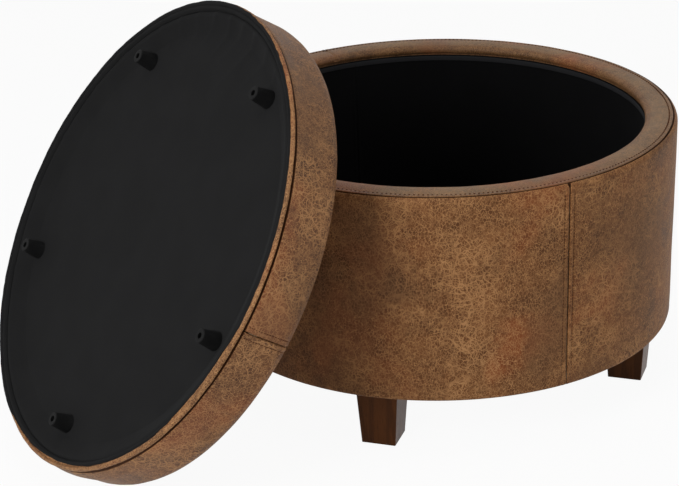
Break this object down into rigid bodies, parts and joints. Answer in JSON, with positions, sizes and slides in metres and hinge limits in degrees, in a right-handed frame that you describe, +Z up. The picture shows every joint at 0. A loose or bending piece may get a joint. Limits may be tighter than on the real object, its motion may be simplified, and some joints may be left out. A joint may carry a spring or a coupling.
{
  "type": "ottoman with storage",
  "caption": "Round storage ottoman: a leather-covered drum on tapered wooden legs, and a padded lid that stands on its edge and leans against the open drum.",
  "frame": {"origin": "on the floor, under the middle of the whole as it stands with the lid leaning: the drum's own axis is 141.2 mm towards +X and 12.4 mm towards +Y from it", "axes": "+Z up; +X from the leaning lid towards the drum, along the longest side of the whole; the floor is z = 0"},
  "size_m": [0.8924, 0.6347, 0.5279],
  "materials": {
    "leather_skin": "satin",
    "plywood": "matte",
    "hardboard": "matte",
    "foam": "matte",
    "black_cloth": "matte",
    "hem_cloth": "matte",
    "dark_wood": "satin",
    "zinc_steel": "satin",
    "guide_rubber": "satin"
  },
  "bodies": {
    "drum": {"bottom_panel": "plywood", "top_ring": "plywood", "wall_battens": "plywood", "wall_hoop": "hardboard", "wall_padding": "foam", "wall_panel_left": "leather_skin", "wall_panel_right": "leather_skin", "rim_padding": "foam", "rim_cover": "leather_skin", "liner_board": "hardboard", "lining_wall": "black_cloth", "lining_hem": "hem_cloth", "floor_board": "hardboard", "floor_cloth": "black_cloth", "dust_cover": "black_cloth", "leg_nuts": "zinc_steel", "leg_bolts": "zinc_steel", "leg_back_right": "dark_wood", "leg_back_left": "dark_wood", "leg_front_left": "dark_wood", "leg_front_right": "dark_wood"},
    "lid": {"guide_screws": "zinc_steel", "lid_band_first": "leather_skin", "lid_band_second": "leather_skin", "lid_board": "plywood", "lid_edge_ring": "plywood", "lid_edge_roll": "leather_skin", "lid_foam": "foam", "lid_guide_1": "guide_rubber", "lid_guide_2": "guide_rubber", "lid_guide_3": "guide_rubber", "lid_guide_4": "guide_rubber", "lid_guide_5": "guide_rubber", "lid_lip": "black_cloth", "lid_top_cover": "leather_skin", "lid_underside": "black_cloth"}
  },
  "joints": [
    {"name": "lid_turnover", "type": "hinge", "parent": "drum", "child": "lid", "pos_m": [-0.09579, -0.00229, 0.43649], "axis": [-0.0772, 0.9961, -0.043], "range_deg": [0, 238.01]}
  ]
}
